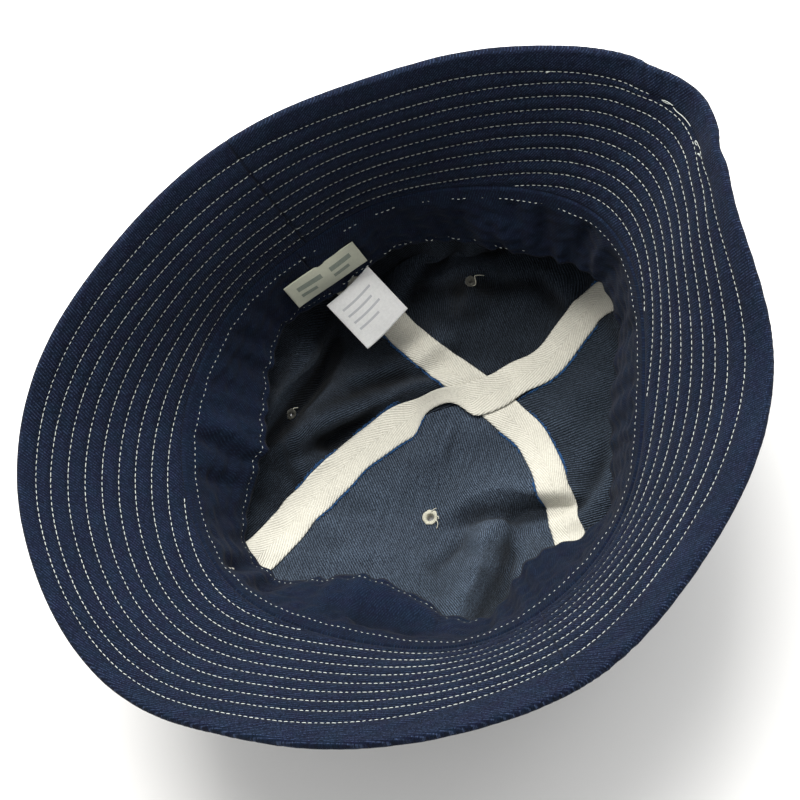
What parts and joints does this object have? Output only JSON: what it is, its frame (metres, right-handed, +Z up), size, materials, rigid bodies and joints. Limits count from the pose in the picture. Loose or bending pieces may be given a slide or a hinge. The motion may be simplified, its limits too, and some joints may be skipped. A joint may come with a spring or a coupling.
{
  "type": "denim army bucket hat",
  "caption": "Soft denim army hat lying upside down on its collapsed gored crown, with a wide flared brim, sweatband, crossed seam tapes, vent eyelets and labels inside.",
  "frame": {"origin": "on the floor under the middle of the brim's outline seen from above, with the hat upside down on its crown", "axes": "+X along the brim's longest way across, towards its pinched corner; +Z up, out of the head opening"},
  "size_m": [0.3058, 0.2464, 0.1303],
  "materials": {
    "dark_denim": "dark indigo denim, warp face out",
    "crown_denim": "grey-blue weft face of indigo denim",
    "band_denim": "dark indigo denim, one stitched edge",
    "herringbone_tape": "cream cotton herringbone tape",
    "eyelet_thread": "cream cotton thread",
    "woven_label": "greenish cream woven cloth",
    "satin_label": "white satin"
  },
  "bodies": {
    "root": {"brim": "dark_denim", "crown_gore_1": "crown_denim", "crown_gore_2": "crown_denim", "crown_gore_3": "crown_denim", "crown_gore_4": "crown_denim", "sweatband": "band_denim", "seam_tape_lower": "herringbone_tape", "seam_tape_upper": "herringbone_tape", "vent_eyelet_1": "eyelet_thread", "vent_eyelet_2": "eyelet_thread", "vent_eyelet_3": "eyelet_thread", "vent_eyelet_4": "eyelet_thread", "woven_label": "woven_label", "care_label": "satin_label"}
  },
  "joints": []
}
